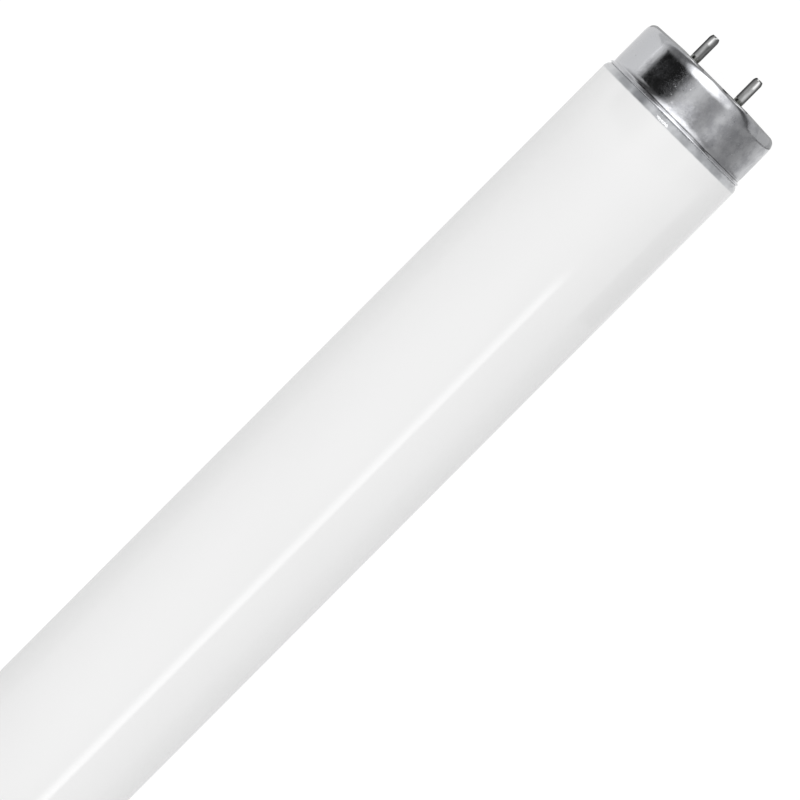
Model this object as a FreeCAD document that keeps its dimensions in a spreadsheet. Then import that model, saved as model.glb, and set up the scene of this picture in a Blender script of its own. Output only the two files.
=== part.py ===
import FreeCAD, Part
import Sketcher
import math
import operator
import os
from types import SimpleNamespace

# Straight fluorescent lamp, 38 mm across, with a two-pin cap on each end.
# The lamp lies along X about its centre, and the pins of each cap are spaced along Y.
# Millimetres. A depth is counted into the lamp from the flat middle of a cap's end face.

SIZES = {
    # Envelope of glass
    "lamp_span": 589.8,
    "tube_diameter": 38.0,
    "glass_wall": 0.8,
    "shoulder_depth": 14.1,
    "shoulder_radius": 2.0,
    "neck_step": 2.1,
    "seal_depth": 5.2,
    "seal_radius": 0.8,
    "seal_land": 0.8,
    # Stem, the tube that is turned back into the envelope and closed by the press
    "stem_bore": 12.6,
    "stem_length": 20.0,
    "press_thickness": 2.5,
    "exhaust_diameter": 4.0,
    "exhaust_wall": 0.8,
    "exhaust_reach": 1.2,
    # Drawn shell of the cap
    "cap_step": 0.9,
    "cap_wall": 0.25,
    "lip_gap": 0.2,
    "lip_rise": 0.45,
    "lip_bend": 1.2,
    "corner_radius": 1.9,
    "crown_rise": 0.35,
    "crown_margin": 0.4,
    # Cement between the neck and the shell
    "cement_length": 4.0,
    "cement_margin": 0.2,
    "cement_gap": 0.05,
    # Insulating plate with a boss that fills the window of the shell, a little behind its face
    "window_width": 5.4,
    "window_gap": 0.1,
    "boss_recess": 0.08,
    "plate_margin": 3.2,
    "plate_thickness": 1.5,
    "seat_gap": 0.05,
    # Hollow pins and the wires that end in them
    "pin_spacing": 12.7,
    "pin_diameter": 2.3,
    "pin_length": 6.6,
    "pin_wall": 0.5,
    "pin_gap": 0.03,
    "root_step": 0.2,
    "nose_length": 1.0,
    "nose_radius": 1.6,
    "flange_width": 0.6,
    "flange_thickness": 0.4,
    "wire_diameter": 0.6,
    "wire_gap": 0.05,
    "wire_stand_off": 1.6,
    "wire_bend": 4.0,
    "wire_straight": 0.8,
}

LEFT_TURN = 1
RIGHT_TURN = -1
WHOLE_TURN = 360.0
HALF_TURN = 180.0
ALONG_LAMP = FreeCAD.Vector(1, 0, 0)
UPRIGHT = FreeCAD.Vector(0, 0, 1)

# The end of the lamp that points along plus or minus X, and the row of pins at plus or minus Y
ENDS = {"right": 1, "left": -1}
ROWS = {"rear": 1, "front": -1}

document = FreeCAD.newDocument("fluorescent_lamp")


def formula_joiner(sign, operate):
    """A method that works out a sum of two lengths and writes its formula beside it."""

    def joined(first, second):
        second = as_length(second)
        return Length(
            operate(first.value, second.value),
            f"({first.formula} {sign} {second.formula})",
        )

    return joined


class Length:
    """A value with the sheet formula that gives it, so a drawing and its binding agree."""

    __add__ = formula_joiner("+", operator.add)
    __sub__ = formula_joiner("-", operator.sub)
    __mul__ = formula_joiner("*", operator.mul)
    __truediv__ = formula_joiner("/", operator.truediv)

    def __init__(self, value, formula):
        self.value = value
        self.formula = formula

    def __neg__(self):
        return Length(-self.value, f"(-{self.formula})")


def as_length(number):
    """Plain numbers join a formula as they are."""
    if isinstance(number, Length):
        return number
    return Length(float(number), str(number))


def square_root(length):
    return Length(math.sqrt(length.value), f"sqrt({length.formula})")


def fill_sheet():
    """The sheet of driving sizes, and the same sizes as lengths that carry its names."""
    sheet = document.addObject("Spreadsheet::Sheet", "sizes")
    lengths = {}
    for row, (name, value) in enumerate(SIZES.items(), start=1):
        sheet.set(f"A{row}", name)
        sheet.set(f"B{row}", str(value))
        sheet.setAlias(f"B{row}", name)
        lengths[name] = Length(value, f"sizes.{name}")
    document.recompute()
    return SimpleNamespace(**lengths)


def origin_feature(body, role):
    return next(item for item in body.Origin.OriginFeatures if item.Role == role)


def new_body(name):
    body = document.addObject("PartDesign::Body", name)
    body.Label = name
    return body


def new_sketch(body, name, role):
    """An empty sketch on one of the body's own origin planes."""
    sketch = body.newObject("Sketcher::SketchObject", name)
    sketch.AttachmentSupport = [(origin_feature(body, role), "")]
    sketch.MapMode = "FlatFace"
    return sketch


def bind_datum(sketch, kind, *where_and_length):
    """A driven size of the sketch, tied to the sheet."""
    *where, length = where_and_length
    index = sketch.addConstraint(Sketcher.Constraint(kind, *where, length.value))
    sketch.setExpression(f"Constraints[{index}]", length.formula)


def pin_point(sketch, edge, end, point):
    """Holds one end of an edge at its place, on an axis of the sketch where that is zero."""
    across, along = point
    if isinstance(across, Length):
        bind_datum(sketch, "DistanceX", -1, 1, edge, end, across)
    else:
        sketch.addConstraint(Sketcher.Constraint("PointOnObject", edge, end, -2))
    if isinstance(along, Length):
        bind_datum(sketch, "DistanceY", -1, 1, edge, end, along)
    else:
        sketch.addConstraint(Sketcher.Constraint("PointOnObject", edge, end, -1))


def place_of(point):
    return FreeCAD.Vector(as_length(point[0]).value, as_length(point[1]).value, 0)


def arc_between(start, finish, radius, turn):
    """The short arc from start to finish that turns to the left or to the right."""
    chord = finish - start
    height = math.sqrt(max(radius**2 - (chord.Length / 2) ** 2, 0))
    leftward = FreeCAD.Vector(-chord.y, chord.x, 0).normalize()
    centre = (start + finish) / 2 + leftward * height * turn
    circle = Part.Circle(centre, UPRIGHT, radius)
    ends = [start, finish] if turn == LEFT_TURN else [finish, start]
    first, last = [math.atan2(end.y - centre.y, end.x - centre.x) for end in ends]
    return Part.ArcOfCircle(circle, first, last)


def draw_steps(sketch, steps, closed):
    """Draws a chain of steps: (x, y) is a line to that point, (x, y, radius, turn) an arc."""
    follow = steps[1:] + steps[:1] if closed else steps[1:]
    edge_ends = []
    for before, step in zip(steps, follow):
        start = place_of(before)
        finish = place_of(step)
        is_arc = len(step) > 2
        if is_arc:
            edge = sketch.addGeometry(arc_between(start, finish, step[2].value, step[3]))
            bind_datum(sketch, "Radius", edge, step[2])
        else:
            edge = sketch.addGeometry(Part.LineSegment(start, finish))
        ends = (2, 1) if is_arc and step[3] == RIGHT_TURN else (1, 2)
        pin_point(sketch, edge, ends[0], before[:2])
        if edge_ends:
            sketch.addConstraint(Sketcher.Constraint("Coincident", *edge_ends[-1][1], edge, ends[0]))
        edge_ends.append(((edge, ends[0]), (edge, ends[1])))
    if closed:
        sketch.addConstraint(Sketcher.Constraint("Coincident", *edge_ends[-1][1], *edge_ends[0][0]))
    else:
        pin_point(sketch, *edge_ends[-1][1], steps[-1][:2])
    return sketch


def draw_slot(sketch, reach, radius):
    """A slot with round ends, its end centres at plus and minus the reach."""
    quarter = math.pi / 2
    right = Part.Circle(FreeCAD.Vector(reach.value, 0, 0), UPRIGHT, radius.value)
    left = Part.Circle(FreeCAD.Vector(-reach.value, 0, 0), UPRIGHT, radius.value)
    right_end = sketch.addGeometry(Part.ArcOfCircle(right, -quarter, quarter))
    left_end = sketch.addGeometry(Part.ArcOfCircle(left, quarter, 3 * quarter))
    corners = [
        FreeCAD.Vector(side * reach.value, level * radius.value, 0)
        for side, level in ((1, 1), (-1, 1), (-1, -1), (1, -1))
    ]
    upper = sketch.addGeometry(Part.LineSegment(corners[0], corners[1]))
    lower = sketch.addGeometry(Part.LineSegment(corners[2], corners[3]))
    for joint in (
        (right_end, 2, upper, 1),
        (upper, 2, left_end, 1),
        (left_end, 2, lower, 1),
        (lower, 2, right_end, 1),
    ):
        sketch.addConstraint(Sketcher.Constraint("Tangent", *joint))
    sketch.addConstraint(Sketcher.Constraint("Equal", right_end, left_end))
    sketch.addConstraint(Sketcher.Constraint("PointOnObject", right_end, 3, -1))
    sketch.addConstraint(Sketcher.Constraint("Symmetric", right_end, 3, left_end, 3, -1, 1))
    bind_datum(sketch, "DistanceX", -1, 1, right_end, 3, reach)
    bind_datum(sketch, "Radius", right_end, radius)
    return sketch


def draw_circle(sketch, centre, radius):
    """A circle held by its centre and its radius."""
    circle = sketch.addGeometry(Part.Circle(place_of(centre), UPRIGHT, radius.value))
    pin_point(sketch, circle, 3, centre)
    bind_datum(sketch, "Radius", circle, radius)
    return sketch


def revolve(body, name, steps):
    """Turns a closed section, drawn on the XY plane, once round the X axis."""
    sketch = draw_steps(new_sketch(body, f"{name}_section", "XY_Plane"), steps, closed=True)
    turned = body.newObject("PartDesign::Revolution", name)
    turned.Profile = sketch
    turned.ReferenceAxis = (sketch, ["H_Axis"])
    turned.Angle = WHOLE_TURN
    sketch.Visibility = False
    return turned


def mirror(body, feature, role):
    """A copy of the feature across one of the body's origin planes."""
    mirrored = body.newObject("PartDesign::Mirrored", f"{feature.Name}_mirrored")
    mirrored.Originals = [feature]
    mirrored.MirrorPlane = (origin_feature(body, role), [""])
    body.Tip = mirrored
    return mirrored


def check_cut(body, volume_before, what):
    """A pocket that points away from the solid removes nothing, so its effect is measured."""
    document.recompute()
    if body.Shape.Volume >= volume_before:
        raise ValueError(f"{what} removed nothing from {body.Label}")


def arc_run(drop, radius):
    """How far an arc runs along the lamp while it falls by the drop."""
    return square_root(radius * drop * 2 - drop * drop)


def ogee_run(drop, radius):
    """Half the length along a curve of two equal arcs that steps down by the drop."""
    return arc_run(drop / 2, radius)


size = fill_sheet()

# Places that more than one piece takes its form from, in the frame of one cap
tube_radius = size.tube_diameter / 2
neck_radius = tube_radius - size.neck_step
stem_radius = size.stem_bore / 2
exhaust_radius = size.exhaust_diameter / 2
cap_radius = tube_radius - size.cap_step
window_radius = size.window_width / 2
pin_radius = size.pin_diameter / 2
root_radius = pin_radius + size.root_step
wire_radius = size.wire_diameter / 2
pin_reach = size.pin_spacing / 2
shoulder_run = ogee_run(size.neck_step, size.shoulder_radius)
crown_radius = pin_reach + window_radius + size.crown_margin
corner_start = cap_radius - size.corner_radius
plate_back = size.cap_wall + size.plate_thickness
stem_floor_depth = size.seal_depth + size.stem_length


def make_glass():
    """The sealed envelope, drawn as half a lamp and mirrored.

    Its wall runs from the tube over a shoulder to the neck, turns round the seal into the
    flare of the stem, and closes at the press, with the tipped-off exhaust tube in the middle.
    """
    body = new_body("glass_tube")
    wall = size.glass_wall
    half_span = size.lamp_span / 2
    shoulder = half_span - size.shoulder_depth
    bend = shoulder + shoulder_run
    neck = bend + shoulder_run
    seal = half_span - size.seal_depth
    mouth_radius = neck_radius - size.seal_radius - size.seal_land
    flare_radius = mouth_radius - stem_radius
    flare = seal - flare_radius
    floor = half_span - stem_floor_depth
    press = floor - size.press_thickness
    bore_radius = exhaust_radius - size.exhaust_wall
    tip = seal + size.exhaust_reach
    tip_centre = tip - exhaust_radius
    # At the bend the wall leans, and its inner face lies one wall towards the first arc's centre
    bend_radius = tube_radius - size.neck_step / 2
    lean = wall / size.shoulder_radius
    inner_bend = bend - shoulder_run * lean
    inner_bend_radius = bend_radius - (size.shoulder_radius - size.neck_step / 2) * lean
    half = revolve(
        body,
        "half_envelope",
        [
            (0, tube_radius),
            (shoulder, tube_radius),
            (bend, bend_radius, size.shoulder_radius, RIGHT_TURN),
            (neck, neck_radius, size.shoulder_radius, LEFT_TURN),
            (seal - size.seal_radius, neck_radius),
            (seal, neck_radius - size.seal_radius, size.seal_radius, RIGHT_TURN),
            (seal, mouth_radius),
            (flare, stem_radius, flare_radius, RIGHT_TURN),
            (floor, stem_radius),
            (floor, exhaust_radius),
            (tip_centre, exhaust_radius),
            (tip, 0, exhaust_radius, RIGHT_TURN),
            (tip_centre + bore_radius, 0),
            (tip_centre, bore_radius, bore_radius, LEFT_TURN),
            (press, bore_radius),
            (press, stem_radius + wall),
            (flare, stem_radius + wall),
            (seal - wall, mouth_radius, flare_radius - wall, LEFT_TURN),
            (seal - wall, neck_radius - wall),
            (neck, neck_radius - wall),
            (inner_bend, inner_bend_radius, size.shoulder_radius + wall, RIGHT_TURN),
            (shoulder, tube_radius - wall, size.shoulder_radius - wall, LEFT_TURN),
            (0, tube_radius - wall),
        ],
    )
    mirror(body, half, "YZ_Plane")
    return body


def set_on_end(body, side, rolled=False, across=None):
    """Puts a piece on the right or left end, turned about Z so that it faces outwards.

    A rolled piece is first turned over about the lamp's axis.
    """
    angle = 0 if side == "right" else HALF_TURN
    roll = FreeCAD.Rotation(ALONG_LAMP, HALF_TURN if rolled else 0)
    body.Placement = FreeCAD.Placement(FreeCAD.Vector(), FreeCAD.Rotation(UPRIGHT, angle) * roll)
    body.setExpression("Placement.Base.x", (size.lamp_span / 2 * ENDS[side]).formula)
    if across is not None:
        body.setExpression("Placement.Base.y", across.formula)
    return body


def make_cap(side):
    """The drawn shell: a lip that opens over the glass shoulder, a straight skirt, a round
    corner and a slightly crowned end wall with a window for the insulating boss."""
    body = new_body(f"end_cap_{side}")
    wall = size.cap_wall
    lip_run = arc_run(size.lip_rise, size.lip_bend)
    lip_spread = wall / size.lip_bend + 1
    inner_lip_radius = cap_radius + size.lip_bend - (size.lip_bend - size.lip_rise) * lip_spread
    # The lip starts where the glass shoulder has fallen to one gap below the lip's inner edge
    fall = tube_radius - inner_lip_radius + size.lip_gap
    inner_lip = arc_run(fall, size.shoulder_radius) - size.shoulder_depth
    lip_foot = inner_lip + lip_run * lip_spread
    corner_end = -size.crown_rise - size.corner_radius
    revolve(
        body,
        f"shell_{side}",
        [
            (0, 0),
            (0, crown_radius),
            (-size.crown_rise, corner_start),
            (corner_end, cap_radius, size.corner_radius, LEFT_TURN),
            (lip_foot, cap_radius),
            (lip_foot - lip_run, cap_radius + size.lip_rise, size.lip_bend, RIGHT_TURN),
            (inner_lip, inner_lip_radius),
            (lip_foot, cap_radius - wall, size.lip_bend + wall, LEFT_TURN),
            (corner_end, cap_radius - wall),
            (-size.crown_rise - wall, corner_start, size.corner_radius - wall, RIGHT_TURN),
            (-wall, crown_radius),
            (-wall, 0),
        ],
    )
    document.recompute()
    uncut = body.Shape.Volume
    window = body.newObject("PartDesign::Pocket", f"window_{side}")
    window.Profile = draw_slot(
        new_sketch(body, f"window_{side}_outline", "YZ_Plane"), pin_reach, window_radius
    )
    window.Type = "ThroughAll"
    check_cut(body, uncut, "the window")
    return set_on_end(body, side)


def make_insulator(side):
    """The moulded plate behind the end wall, with its boss in the window and two pin holes."""
    body = new_body(f"base_insulator_{side}")
    plate_radius = corner_start - size.plate_margin
    plate_drop = size.crown_rise * (plate_radius - crown_radius) / (corner_start - crown_radius)
    revolve(
        body,
        f"plate_{side}",
        [
            (-size.cap_wall, 0),
            (-size.cap_wall, crown_radius),
            (-size.cap_wall - plate_drop - size.seat_gap, plate_radius),
            (-plate_back, plate_radius),
            (-plate_back, 0),
        ],
    )
    boss = body.newObject("PartDesign::Pad", f"boss_{side}")
    outline = new_sketch(body, f"boss_{side}_outline", "YZ_Plane")
    outline.setExpression("AttachmentOffset.Base.z", (-size.boss_recess).formula)
    boss.Profile = draw_slot(outline, pin_reach, window_radius - size.window_gap)
    boss.setExpression("Length", (size.cap_wall - size.boss_recess).formula)
    boss.Reversed = True
    document.recompute()
    undrilled = body.Shape.Volume
    hole = body.newObject("PartDesign::Pocket", f"pin_hole_{side}")
    rim = new_sketch(body, f"pin_hole_{side}_outline", "YZ_Plane")
    rim.setExpression("AttachmentOffset.Base.z", (-size.boss_recess).formula)
    hole.Profile = draw_circle(rim, (pin_reach, 0), root_radius + size.pin_gap)
    hole.Type = "ThroughAll"
    mirror(body, hole, "XZ_Plane")
    check_cut(body, undrilled, "the pin holes")
    return set_on_end(body, side)


def make_cement(side):
    """The ring of cement that holds the shell on the glass neck."""
    body = new_body(f"base_cement_{side}")
    inner_end = shoulder_run * 2 + size.cement_margin - size.shoulder_depth
    outer_end = inner_end + size.cement_length
    inner_radius = neck_radius + size.cement_gap
    outer_radius = cap_radius - size.cap_wall - size.cement_gap
    revolve(
        body,
        f"ring_{side}",
        [
            (inner_end, inner_radius),
            (outer_end, inner_radius),
            (outer_end, outer_radius),
            (inner_end, outer_radius),
        ],
    )
    return set_on_end(body, side)


def make_pin(side, row):
    """A hollow pin: a flange behind the plate, a thicker root that fills the plate's hole up to
    the face of the boss, the shank that the lampholder takes, and a nose closed round the wire."""
    body = new_body(f"contact_pin_{side}_{row}")
    flange_radius = root_radius + size.flange_width
    bore_radius = pin_radius - size.pin_wall
    eye_radius = wire_radius + size.wire_gap
    nose = size.pin_length - size.nose_length
    # The nose is an arc that leaves the shank without an edge
    nose_height = square_root(
        size.nose_radius * size.nose_radius - size.nose_length * size.nose_length
    )
    nose_end_radius = pin_radius - size.nose_radius + nose_height
    flange_back = -plate_back - size.flange_thickness
    revolve(
        body,
        f"shank_{side}_{row}",
        [
            (flange_back, bore_radius),
            (nose, bore_radius),
            (size.pin_length - size.nose_length / 2, eye_radius),
            (size.pin_length, eye_radius),
            (size.pin_length, nose_end_radius),
            (nose, pin_radius, size.nose_radius, LEFT_TURN),
            (-size.boss_recess, pin_radius),
            (-size.boss_recess, root_radius),
            (-plate_back, root_radius),
            (-plate_back, flange_radius),
            (flange_back, flange_radius),
        ],
    )
    return set_on_end(body, side, across=pin_reach * ROWS[row])


def make_wire(side, row):
    """A lead wire from the press of the stem to the nose of its pin, with one gentle step."""
    body = new_body(f"lead_wire_{side}_{row}")
    start_reach = exhaust_radius + size.wire_stand_off + wire_radius
    step = pin_reach - start_reach
    run = ogee_run(step, size.wire_bend)
    bend_end = -plate_back - size.flange_thickness - size.wire_straight
    bend_middle = bend_end - run
    bend_start = bend_middle - run
    path = draw_steps(
        new_sketch(body, f"route_{side}_{row}", "XY_Plane"),
        [
            (-stem_floor_depth, start_reach),
            (bend_start, start_reach),
            (bend_middle, start_reach + step / 2, size.wire_bend, LEFT_TURN),
            (bend_end, pin_reach, size.wire_bend, RIGHT_TURN),
            (size.pin_length, pin_reach),
        ],
        closed=False,
    )
    section = new_sketch(body, f"section_{side}_{row}", "YZ_Plane")
    section.setExpression("AttachmentOffset.Base.z", (-stem_floor_depth).formula)
    wire = body.newObject("PartDesign::AdditivePipe", f"wire_{side}_{row}")
    wire.Profile = draw_circle(section, (start_reach, 0), wire_radius)
    wire.Spine = path
    # Each wire is drawn at plus Y, which the turn to the left end brings to minus Y
    return set_on_end(body, side, rolled=ROWS[row] != ENDS[side])


def make_end(side):
    """All pieces of one end of the lamp."""
    pieces = [make_cap(side), make_insulator(side), make_cement(side)]
    for row in ROWS:
        pieces.append(make_pin(side, row))
        pieces.append(make_wire(side, row))
    return pieces


def check_and_write(pieces):
    """Stops on a failed object or a solid that isn't whole, then writes one file a piece."""
    document.recompute()
    for item in document.Objects:
        if "Invalid" in item.State or "Error" in item.State:
            raise ValueError(f"{item.Label} failed: {item.State}")
    for piece in pieces:
        shape = piece.Shape
        if shape.isNull() or not shape.isValid() or len(shape.Solids) != 1:
            raise ValueError(f"{piece.Label} is not one valid solid")
    os.makedirs("parts", exist_ok=True)
    for piece in pieces:
        piece.Shape.exportStep(f"parts/{piece.Label}.step")
        print(f"{piece.Label}: {piece.Shape.Volume:.1f} cubic millimetres")


lamp = [make_glass()]
for end in ENDS:
    lamp += make_end(end)
check_and_write(lamp)
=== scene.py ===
import bmesh
import bpy
import math
from mathutils import Matrix, Vector


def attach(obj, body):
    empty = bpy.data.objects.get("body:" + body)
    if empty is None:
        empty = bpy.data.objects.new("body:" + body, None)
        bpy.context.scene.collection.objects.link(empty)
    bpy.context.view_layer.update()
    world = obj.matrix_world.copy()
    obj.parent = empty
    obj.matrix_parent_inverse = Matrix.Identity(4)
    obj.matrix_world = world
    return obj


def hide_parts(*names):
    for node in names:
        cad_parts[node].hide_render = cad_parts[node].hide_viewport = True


# A fluorescent lamp that lies on a pale floor, seen from straight above, its caps along X.
# Lengths are in metres, except in the finishes. MM turns a size in millimetres into metres.

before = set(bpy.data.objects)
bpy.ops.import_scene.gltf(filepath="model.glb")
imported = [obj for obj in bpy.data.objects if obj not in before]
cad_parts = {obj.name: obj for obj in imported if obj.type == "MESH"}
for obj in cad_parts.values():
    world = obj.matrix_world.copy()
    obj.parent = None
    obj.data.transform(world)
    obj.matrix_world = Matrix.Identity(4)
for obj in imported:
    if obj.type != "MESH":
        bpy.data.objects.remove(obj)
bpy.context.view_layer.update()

MM = 0.001
SIDES = {"right": 1, "left": -1}
ROWS = {"rear": 1, "front": -1}

# Envelope, as distances along the lamp from its middle and out from its axis
FACE_PLANE = 294.9 * MM
TUBE_RADIUS = 19.0 * MM
SHOULDER_START = 280.8 * MM
SHOULDER_END = 284.32 * MM
SHOULDER_BEND = 2.0 * MM
NECK_RADIUS = 16.9 * MM
SEAL_END = 289.7 * MM
SEAL_BEND = 0.8 * MM
# The seal turns back into the flare of the stem, which holds the tipped-off exhaust tube
FLARE_MOUTH = 15.3 * MM
STEM_RADIUS = 6.3 * MM
STEM_FLOOR = 269.7 * MM
EXHAUST_RADIUS = 2.0 * MM
EXHAUST_TIP = 290.9 * MM

# Cap, as depths behind the face plane and distances out from the axis
SHELL_WALL = 0.25 * MM
SKIRT_RADIUS = 18.1 * MM
CORNER_BEND = 1.9 * MM
CROWN_DROP = 0.35 * MM
CROWN_RADIUS = 9.45 * MM
# The skirt leans in a little before it turns round the corner
CORNER_LEAN = math.radians(7)
LEAN_BEND = 9.8 * MM
CREASE_DEPTH = 11.66 * MM
CREASE_DIP = 0.07 * MM
SWELL_START = 10.25 * MM
LIP_EDGE_DEPTH = 12.3 * MM
LIP_EDGE_RADIUS = 18.55 * MM
LIP_FLARE_DEPTH = 11.98 * MM
LIP_FLARE_RADIUS = 18.3 * MM
LIP_BEND = 0.6 * MM
LIP_INNER_BEND = LIP_BEND + 0.8 * MM
LIP_FOOT_DEPTH = 11.36 * MM
# The cut edge of the lip is burnished down towards the glass
BURNISH_REACH = 0.19 * MM
BURNISH_DROP = 0.31 * MM
BURNISH_BEND = 0.34 * MM
WINDOW_RADIUS = 2.7 * MM
BOSS_RECESS = 0.08 * MM

# Pins
PIN_REACH = 6.35 * MM
PIN_RADIUS = 1.15 * MM
PIN_ROOT_RADIUS = 1.35 * MM
PIN_BORE = 0.65 * MM
PIN_EYE = 0.35 * MM
PIN_FLANGE_RADIUS = 1.95 * MM
PIN_FLANGE_DEPTH = 1.75 * MM
PIN_FLANGE_WIDTH = 0.4 * MM
PIN_TIP = 301.5 * MM
PIN_NOSE = 1.0 * MM
PIN_NOSE_BEND = 1.6 * MM

# How finely round shapes are divided, where a turned sheet closes, and which edges stay sharp
ROUND_SEGMENTS = 256
PIN_SEGMENTS = 64
ARC_PIECE = math.radians(4)
FEWEST_ARC_PIECES = 4
WINDOW_END_PIECES = 24
SEAM_DISTANCE = 0.001 * MM
SHARP_ANGLE = math.radians(28)
# The window's cutter stands out this far on both sides of the face
CUTTER_OVERRUN = 1.0 * MM


def shade(code):
    """Turns an sRGB hex colour into the linear one that a shader takes."""
    parts = [int(code[i : i + 2], 16) / 255 for i in (0, 2, 4)]
    return [p / 12.92 if p <= 0.04045 else ((p + 0.055) / 1.055) ** 2.4 for p in parts] + [1.0]


def add(tree, kind, inputs=(), **settings):
    """Adds a node with its settings and gives back its outputs. An output given as an input is linked."""
    node = tree.nodes.new(kind)
    for name, value in settings.items():
        setattr(node, name, value)
    for name, value in dict(inputs).items():
        if isinstance(value, bpy.types.NodeSocket):
            tree.links.new(value, node.inputs[name])
        else:
            node.inputs[name].default_value = value
    return node.outputs


def cleared(owner):
    """Gives a material or a world a node tree with nothing in it yet."""
    owner.use_nodes = True
    owner.node_tree.nodes.clear()
    return owner.node_tree


# Turned pieces


def arc_points(start, end, bend, hand):
    """Points of an arc between two places, without its ends. Hand is 1 to the left, -1 to the right."""
    chord = end - start
    rise = math.sqrt(max(bend**2 - (chord.length / 2) ** 2, 0))
    side = Vector((-chord.y, chord.x)).normalized()
    centre = (start + end) / 2 + side * rise * hand
    first = math.atan2(*(start - centre).yx)
    sweep = (start - centre).angle(end - centre) * hand
    count = max(FEWEST_ARC_PIECES, int(abs(sweep) / ARC_PIECE))
    steps = [first + sweep * i / count for i in range(1, count)]
    return [centre + Vector((math.cos(a), math.sin(a))) * bend for a in steps]


def trace(steps):
    """Turns steps into points. (x, r) is a line to a place, (x, r, bend, hand) an arc to it."""
    points = [Vector(steps[0][:2])]
    for step in steps[1:]:
        end = Vector(step[:2])
        if len(step) > 2:
            points += arc_points(points[-1], end, step[2], step[3])
        points.append(end)
    return points


def build_turning_tree():
    """A Geometry Nodes lathe: it turns the points of a profile once round the lamp's axis."""
    tree = bpy.data.node_groups.new("turned_profile", "GeometryNodeTree")
    for label, kind in (
        ("Profile", "NodeSocketObject"),
        ("Segments", "NodeSocketInt"),
        ("Seam distance", "NodeSocketFloat"),
        ("Finish", "NodeSocketMaterial"),
    ):
        tree.interface.new_socket(label, in_out="INPUT", socket_type=kind)
    tree.interface.new_socket("Geometry", in_out="OUTPUT", socket_type="NodeSocketGeometry")
    given = add(tree, "NodeGroupInput")
    profile = add(tree, "GeometryNodeObjectInfo", {"Object": given["Profile"]})["Geometry"]
    count = add(tree, "GeometryNodeAttributeDomainSize", {"Geometry": profile}, component="MESH")
    rows = add(tree, "FunctionNodeIntegerMath", {0: given["Segments"], 1: 1}, operation="ADD")[0]
    sheet = {"Vertices X": count["Point Count"], "Vertices Y": rows}
    grid = add(tree, "GeometryNodeMeshGrid", sheet)["Mesh"]
    index = add(tree, "GeometryNodeInputIndex")[0]
    place = add(tree, "FunctionNodeIntegerMath", {0: index, 1: rows}, operation="DIVIDE_FLOOR")[0]
    step = add(tree, "FunctionNodeIntegerMath", {0: index, 1: rows}, operation="MODULO")[0]
    position = add(tree, "GeometryNodeInputPosition")[0]
    wanted = {"Geometry": profile, "Index": place}
    point = add(tree, "GeometryNodeSampleIndex", wanted, data_type="FLOAT_VECTOR")["Value"]
    tree.links.new(position, point.node.inputs["Value"])
    apart = add(tree, "ShaderNodeSeparateXYZ", {0: point})
    share = add(tree, "ShaderNodeMath", {0: step, 1: given["Segments"]}, operation="DIVIDE")[0]
    angle = add(tree, "ShaderNodeMath", {0: share, 1: math.tau}, operation="MULTIPLY")[0]
    across = add(tree, "ShaderNodeMath", {0: angle}, operation="COSINE")[0]
    upward = add(tree, "ShaderNodeMath", {0: angle}, operation="SINE")[0]
    y = add(tree, "ShaderNodeMath", {0: apart["Y"], 1: across}, operation="MULTIPLY")[0]
    z = add(tree, "ShaderNodeMath", {0: apart["Y"], 1: upward}, operation="MULTIPLY")[0]
    turned = add(tree, "ShaderNodeCombineXYZ", {"X": apart["X"], "Y": y, "Z": z})[0]
    placed = add(tree, "GeometryNodeSetPosition", {"Geometry": grid, "Position": turned})[0]
    seam = {"Geometry": placed, "Distance": given["Seam distance"]}
    closed = add(tree, "GeometryNodeMergeByDistance", seam)[0]
    smooth = add(tree, "GeometryNodeSetShadeSmooth", {"Geometry": closed})[0]
    real = add(tree, "GeometryNodeRealizeInstances", {"Geometry": smooth})[0]
    coat = {"Geometry": real, "Material": given["Finish"]}
    add(tree, "NodeGroupOutput", {"Geometry": add(tree, "GeometryNodeSetMaterial", coat)[0]})
    return tree


def new_object(name, data):
    """Puts a mesh, a light or a camera into the scene as an object."""
    piece = bpy.data.objects.new(name, data)
    bpy.context.scene.collection.objects.link(piece)
    return piece


def settle(piece):
    """Points the faces outwards and keeps the sharp edges."""
    shell = bmesh.new()
    shell.from_mesh(piece.data)
    bmesh.ops.recalc_face_normals(shell, faces=shell.faces)
    shell.to_mesh(piece.data)
    shell.free()
    piece.data.set_sharp_from_angle(angle=SHARP_ANGLE)
    piece.data.update()
    return piece


def evaluated_mesh(piece):
    """The piece's mesh with its modifiers worked in."""
    graph = bpy.context.evaluated_depsgraph_get()
    return bpy.data.meshes.new_from_object(piece.evaluated_get(graph), depsgraph=graph)


def turn(name, steps, finish, segments=ROUND_SEGMENTS, shift=(0, 0, 0)):
    """Makes a turned piece from its profile."""
    points = trace(steps)
    outline = bpy.data.meshes.new(f"{name}_profile")
    edges = [(i, i + 1) for i in range(len(points) - 1)]
    outline.from_pydata([(p.x, p.y, 0) for p in points], edges, [])
    profile = new_object(f"{name}_profile", outline)
    blank = new_object(f"{name}_blank", bpy.data.meshes.new(f"{name}_blank"))
    lathe = blank.modifiers.new("turning", "NODES")
    lathe.node_group = turning_tree
    sockets = {item.name: item.identifier for item in turning_tree.interface.items_tree}
    lathe[sockets["Profile"]] = profile
    lathe[sockets["Segments"]] = segments
    lathe[sockets["Seam distance"]] = SEAM_DISTANCE
    lathe[sockets["Finish"]] = finish
    mesh = evaluated_mesh(blank)
    mesh.transform(Matrix.Translation(shift))
    bpy.data.objects.remove(blank)
    bpy.data.objects.remove(profile)
    mesh.name = name
    return settle(new_object(name, mesh))


def ride_as(piece, node):
    """The piece stands for the node and rides with the lamp."""
    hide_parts(node)
    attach(piece, "root")


# Finishes

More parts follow.
